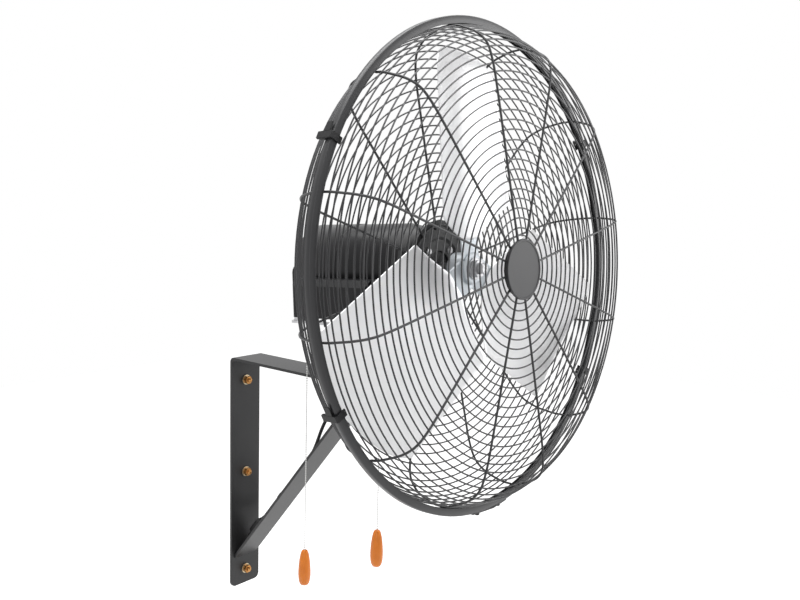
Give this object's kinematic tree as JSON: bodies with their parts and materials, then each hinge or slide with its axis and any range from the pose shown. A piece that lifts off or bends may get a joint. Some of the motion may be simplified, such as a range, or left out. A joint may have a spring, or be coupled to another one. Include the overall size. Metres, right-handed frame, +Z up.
{
  "type": "wall mounted fan",
  "caption": "Wall fan with a wire guard on a tilting, swinging neck, carried by a bent flat-bar bracket with a diagonal brace, and worked by hanging pull chains.",
  "frame": {"origin": "on the wall plane, on the bracket's middle line, midway between the upper and the middle fixing screw", "axes": "+Z up, +Y into the wall, so the fan reaches out along -Y; +X to the right of someone who faces the wall; the pull chains hang on the -X side"},
  "size_m": [0.6938, 0.6168, 0.9732],
  "materials": {
    "bracket_paint": "dark grey semi-gloss powder coat",
    "guard_wire": "dark grey coated wire",
    "fixing_zinc": "yellow zinc plated",
    "steel": "plain steel",
    "cast_body": "painted casting",
    "black_plastic": "matt moulded",
    "motor_paint": "gloss black paint",
    "dark_screw": "blackened",
    "winding": "laminated core and copper winding, in one solid",
    "blade_metal": "satin sheet",
    "orange_plastic": "moulded pull handle",
    "cord_jacket": "black mains cord"
  },
  "bodies": {
    "bracket": {"wall_bracket": "bracket_paint", "diagonal_brace": "bracket_paint", "wall_washer_1": "fixing_zinc", "wall_washer_2": "fixing_zinc", "wall_washer_3": "fixing_zinc", "wall_screw_1": "fixing_zinc", "wall_screw_2": "fixing_zinc", "wall_screw_3": "fixing_zinc", "neck_bolt": "steel", "neck_post": "cast_body", "tilt_bolt": "steel", "tilt_knob": "black_plastic", "cord_gland": "black_plastic", "power_cord": "cord_jacket", "cord_hank": "cord_jacket", "hank_tie": "black_plastic", "power_plug": "black_plastic"},
    "knuckle": {"tilt_knuckle": "cast_body", "link_pin": "steel"},
    "link": {"oscillation_link": "steel"},
    "head": {"motor_cradle": "motor_paint", "motor_front_shell": "motor_paint", "motor_rear_shell": "motor_paint", "front_bearing": "steel", "rear_bearing": "steel", "stator": "winding", "gearbox_housing": "black_plastic", "switch_box": "black_plastic", "speed_switch_nipple": "steel", "oscillation_switch_nipple": "steel", "guard_mount_plate": "bracket_paint", "guard_screw_1": "steel", "guard_screw_2": "steel", "guard_screw_3": "steel", "guard_screw_4": "steel", "rear_guard": "guard_wire", "front_guard": "guard_wire", "rim_band": "bracket_paint", "band_joint_plate": "bracket_paint", "band_screw_1": "dark_screw", "band_screw_2": "dark_screw", "guard_clip_1": "black_plastic", "guard_clip_2": "black_plastic", "guard_clip_3": "black_plastic", "guard_clip_4": "black_plastic", "hub_badge": "bracket_paint", "badge_clamp_plate": "black_plastic"},
    "crank": {"crank": "steel"},
    "rotor": {"motor_shaft": "steel", "rotor_hub": "blade_metal", "blade_1": "blade_metal", "blade_2": "blade_metal", "blade_3": "blade_metal", "hub_nut": "steel"},
    "speed_pull": {"speed_chain": "steel", "speed_handle": "orange_plastic"},
    "oscillation_pull": {"oscillation_chain": "steel", "oscillation_handle": "orange_plastic"}
  },
  "joints": [
    {"name": "tilt", "type": "hinge", "parent": "bracket", "child": "knuckle", "pos_m": [0, -0.265, 0.185], "axis": [-1, 0, 0], "range_deg": [-12, 16]},
    {"name": "oscillation", "type": "hinge", "parent": "knuckle", "child": "head", "pos_m": [0, -0.265, 0.185], "axis": [0, 0.0684, 0.9977], "range_deg": [-45, 45]},
    {"name": "crank_turn", "type": "hinge", "parent": "head", "child": "crank", "pos_m": [0, -0.16941, 0.21955], "axis": [0, 0.0684, 0.9977], "range_deg": [-63, 63]},
    {"name": "link_swing", "type": "hinge", "parent": "knuckle", "child": "link", "pos_m": [-0.038, -0.26254, 0.22092], "axis": [0, 0.0684, 0.9977], "range_deg": [-42.5, 42.5]},
    {"name": "rotor_spin", "type": "hinge", "parent": "head", "child": "rotor", "pos_m": [0, -0.51032, 0.3276], "axis": [0, -0.9977, 0.0684], "continuous": true},
    {"name": "speed_pull", "type": "slide", "parent": "head", "child": "speed_pull", "axis": [0, 0, -1], "range_m": [0, 0.012], "stiffness_N_per_m": 400},
    {"name": "oscillation_pull", "type": "slide", "parent": "head", "child": "oscillation_pull", "axis": [0, 0, -1], "range_m": [0, 0.012], "stiffness_N_per_m": 400}
  ],
  "couplings": [
    {"joint": "crank_turn", "follows": "oscillation", "ratio": -1.38},
    {"joint": "link_swing", "follows": "oscillation", "ratio": 0.93}
  ]
}
